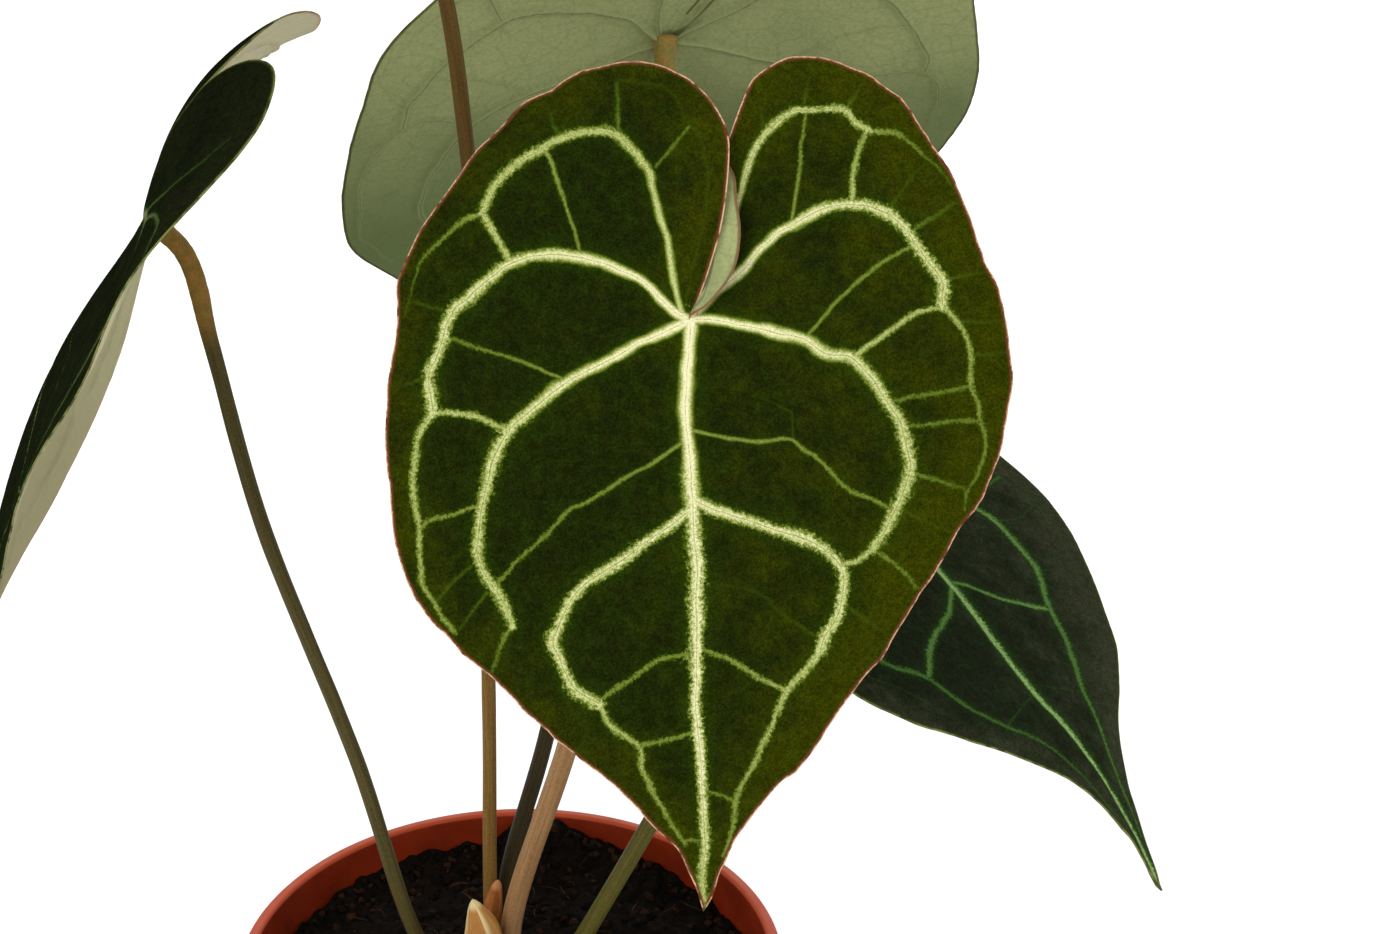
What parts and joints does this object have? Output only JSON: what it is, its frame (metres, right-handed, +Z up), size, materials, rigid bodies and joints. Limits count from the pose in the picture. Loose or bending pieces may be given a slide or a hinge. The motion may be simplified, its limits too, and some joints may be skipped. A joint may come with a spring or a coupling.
{
  "type": "potted anthurium clarinervium",
  "caption": "Potted houseplant with heart-shaped, velvety dark green leaves veined in silver-green, on long stalks, in a round tapered terracotta-red nursery pot of dark peat.",
  "frame": {"origin": "middle of the pot's underside, on the surface that the pot stands on", "axes": "+Z up, -Y towards the side that the picture was taken from, +X to the right as seen from there"},
  "size_m": [0.2479, 0.2259, 0.4043],
  "materials": {
    "pot": "satin",
    "soil": "damp peat",
    "crown": "matte",
    "stalk_brown": "satin",
    "stalk_pink_brown": "satin",
    "stalk_green": "satin",
    "blade": "velvet",
    "sheath_tan": "papery",
    "sheath_brown": "papery"
  },
  "bodies": {
    "root": {"pot": "pot", "soil": "soil", "crown": "crown", "petiole_front": "stalk_pink_brown", "petiole_rear": "stalk_brown", "petiole_left": "stalk_brown", "petiole_right": "stalk_green", "petiole_top": "stalk_brown", "blade_front": "blade", "blade_rear": "blade", "blade_left": "blade", "blade_right": "blade", "blade_top": "blade", "sheath_tan": "sheath_tan", "sheath_brown": "sheath_brown"}
  },
  "joints": []
}
